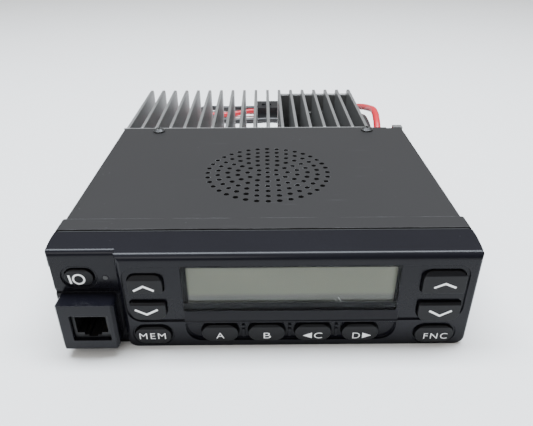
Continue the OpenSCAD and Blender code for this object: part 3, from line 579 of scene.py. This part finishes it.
def legends():
    """Chevrons, triangles, the power sign and the letters on the keys."""
    def mark(name, body, outlines, y):
        flat_plate(name, body, outlines, y, PRINT_T, white_ink)

    chevrons = (
        ("left_up", (-48.9, 28.7), (-45.1, 30.8), (-41.2, 28.7)),
        ("left_down", (-49.4, 19.6), (-45.1, 17.3), (-40.7, 19.6)),
        ("right_up", (63.6, 29.1), (67.7, 31.0), (71.9, 29.1)),
        ("right_down", (63.5, 18.0), (67.8, 15.5), (72.1, 18.0)),
    )
    for name, *points in chevrons:
        mark(name + "_arrow", name + "_key", [stroke(points, 0.85)], TAB_Y)
    mark("power_bar", "power_key", [stroke([(-73.2, 33.8), (-72.7, 29.9)], 0.75)], POWER_Y)
    mark("power_ring", "power_key", [circle(-69.6, 31.9, 2.45), circle(-69.6, 31.9, 1.72)], POWER_Y)
    mark("c_arrow", "key_c", [[(15.2, 5.5), (18.8, 6.95), (18.8, 4.1)]], KEY_ROW_Y)
    mark("d_arrow", "key_d", [[(42.3, 5.3), (38.8, 6.75), (38.8, 3.9)]], KEY_ROW_Y)
    letters = (
        ("a", -17.5, 5.8, 3.1), ("b", 1.1, 5.65, 2.8),
        ("c", 21.3, 5.45, 3.2), ("d", 36.4, 5.3, 2.9),
    )
    for key, x, z, width in letters:
        lettering(f"letter_{key}", f"key_{key}", key.upper(), x, z, width, 2.85, KEY_ROW_Y)
    lettering("word_mem", "mem_key", "MEM", -44.2, 6.0, 10.3, 2.9, OVAL_Y)
    lettering("word_fnc", "fnc_key", "FNC", 67.9, 4.9, 9.3, 2.85, OVAL_Y)


legends()


# ---------------------------------------------------------------- display

LENS = (-30.9, 17.5, 50.9, 38.7)         # outer outline of the border: x and z, then x and z
WINDOW = (-29.2, 20.3, 49.9, 37.0)       # what the border leaves clear


def lens_border():
    """Black border printed on the back of the window."""
    ink = finish("window border ink", (0.006, 0.006, 0.007), 0.3, depth=0.001, specular=0.05)
    outlines = [rounded_box(*LENS, 0.7), rounded_box(*WINDOW, 0.5)]
    flat_plate("lens_border", "radio", outlines, 1.96, 0.08, ink)


def lens_scratch():
    """Short pale scratches low on the window."""
    pale = finish("scratch", (0.75, 0.75, 0.75), 0.5, depth=0.001)
    outlines = [
        stroke([(28.2, 24.0), (29.6, 21.6)], 0.14), stroke([(27.0, 22.9), (28.0, 21.9)], 0.08),
    ]
    flat_plate("lens_scratch", "radio", outlines, 0.24, 0.012, pale)


lens_border()
lens_scratch()


# ---------------------------------------------------------------- antenna thread

def ring_mesh(name, profile, x, z, steps=64):
    """A closed ring turned about an axis along y; the profile is a loop of (radius, y)."""
    build = bmesh.new()
    rings = []
    for k in range(steps):
        angle = 2 * math.pi * k / steps
        across, up = math.cos(angle), math.sin(angle)
        rings.append([build.verts.new(at(x + r * across, y, z + r * up)) for r, y in profile])
    for k in range(steps):
        here, ahead = rings[k], rings[(k + 1) % steps]
        for i in range(len(profile)):
            j = (i + 1) % len(profile)
            build.faces.new((here[i], here[j], ahead[j], ahead[i]))
    bmesh.ops.recalc_face_normals(build, faces=build.faces)
    mesh = bpy.data.meshes.new(name)
    build.to_mesh(mesh)
    build.free()
    piece = bpy.data.objects.new(name, mesh)
    scene.collection.objects.link(piece)
    return piece


def antenna_thread():
    """Ridges of the coupling thread around the antenna socket's barrel."""
    low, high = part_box("antenna_connector")
    x, z = (low.x + high.x) / 2 / MM, (low.z + high.z) / 2 / MM
    root, crest, inside, pitch = 7.92, 8.2, 7.6, 1.058
    thread_length, turns = 13.2, 11
    start = high.y / MM - FACE_Y - thread_length
    ridges = [(root if k % 2 == 0 else crest, start + pitch * k / 2) for k in range(2 * turns + 1)]
    profile = [(inside, ridges[0][1]), *ridges, (inside, ridges[-1][1])]
    piece = ring_mesh("antenna_thread", profile, x, z)
    piece.data.materials.append(nickel)
    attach(piece, "radio")


antenna_thread()


# ---------------------------------------------------------------- stage and light

def stage():
    """A wide pale floor."""
    reach, ground = 3.0, bpy.data.meshes.new("floor")
    corners = [(-reach, -reach, 0), (reach, -reach, 0), (reach, reach, 0), (-reach, reach, 0)]
    ground.from_pydata(corners, [], [(0, 1, 2, 3)])
    floor = bpy.data.objects.new("floor", ground)
    scene.collection.objects.link(floor)
    ground.materials.append(finish("pale floor", (0.84, 0.835, 0.82), 0.75, tone=0.03, depth=0.001))


def light(name, place, aim, size, power, tint=(1, 1, 1)):
    """A rectangular lamp; places and sizes in metres, power in watts."""
    lamp = bpy.data.lights.new(name, "AREA")
    lamp.shape = "RECTANGLE"
    lamp.size, lamp.size_y = size
    lamp.energy = power
    lamp.color = tint
    thing = bpy.data.objects.new(name, lamp)
    scene.collection.objects.link(thing)
    thing.location = place
    thing.rotation_euler = (Vector(aim) - Vector(place)).to_track_quat("-Z", "Y").to_euler()


def surroundings():
    """A pale room: bright above and behind, dim in front and low down."""
    world = bpy.data.worlds.new("surroundings")
    scene.world = world
    world.use_nodes = True
    w = Wiring(world.node_tree)
    backdrop = world.node_tree.nodes["Background"]
    apart = w.add("ShaderNodeSeparateXYZ")
    w.join(w.add("ShaderNodeTexCoord").outputs["Generated"], apart.inputs[0])
    above = w.band(apart.outputs["Z"], 0.55, 1.0)
    behind = w.band(apart.outputs["Y"], -0.5, 0.6)
    bright = w.math("ADD", w.math("MULTIPLY", above, 0.75), w.math("MULTIPLY", behind, 0.30))
    w.join(w.math("ADD", bright, 0.25), backdrop.inputs["Strength"])
    backdrop.inputs["Color"].default_value = (1.0, 0.985, 0.955, 1)


stage()
surroundings()
light("overhead", (0.0, 0.06, 1.0), (0, 0.0, 0), (1.2, 0.3), 36, (0.84, 0.91, 1.0))
light("front fill", (-0.4, -1.1, 0.9), (0, 0, 0), (0.8, 0.5), 5)
